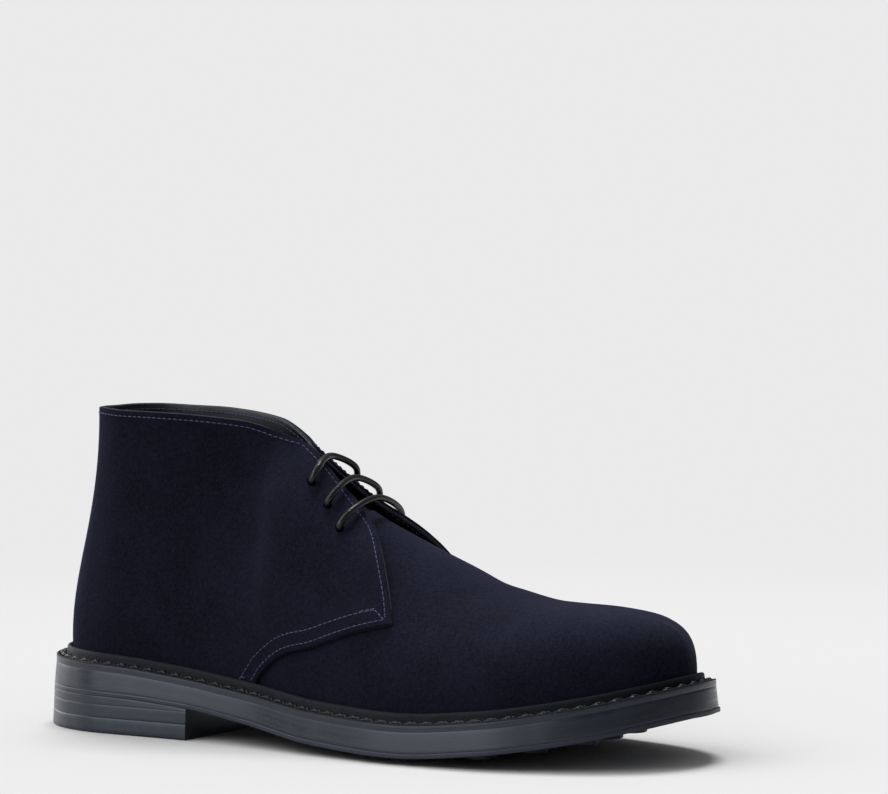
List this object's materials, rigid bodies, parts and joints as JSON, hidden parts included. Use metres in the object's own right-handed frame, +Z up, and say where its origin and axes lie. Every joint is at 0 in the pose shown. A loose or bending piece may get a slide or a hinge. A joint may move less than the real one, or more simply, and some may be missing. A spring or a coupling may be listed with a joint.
{
  "type": "chukka boot",
  "caption": "Ankle-high suede lace-up boot for the right foot: plain vamp, lapped quarters, storm welt, thick sole and stacked heel.",
  "frame": {"origin": "on the floor, under the middle of the boot's box", "axes": "+X to the toe, +Y to the wearer's left, the inner side of this right boot, +Z up"},
  "size_m": [0.3052, 0.1086, 0.1327],
  "materials": {
    "outsole_rubber": "dark navy rubber, satin",
    "sole_leather": "black dyed edge, burnished, faint layer lines",
    "top_lift_rubber": "black rubber, satin",
    "welt_leather": "black leather, satin, lock-stitched",
    "lining_leather": "black smooth leather",
    "suede": "dark navy suede, matt with a short nap",
    "tongue_suede": "dark navy suede",
    "lace_cord": "round black waxed cord"
  },
  "bodies": {
    "root": {"outsole": "outsole_rubber", "midsole": "sole_leather", "heel_stack": "sole_leather", "top_lift": "top_lift_rubber", "welt": "welt_leather", "insole": "lining_leather", "upper": "suede", "tongue": "tongue_suede", "lace_bar_1": "lace_cord", "lace_bar_2": "lace_cord", "lace_bar_3": "lace_cord"}
  },
  "joints": []
}
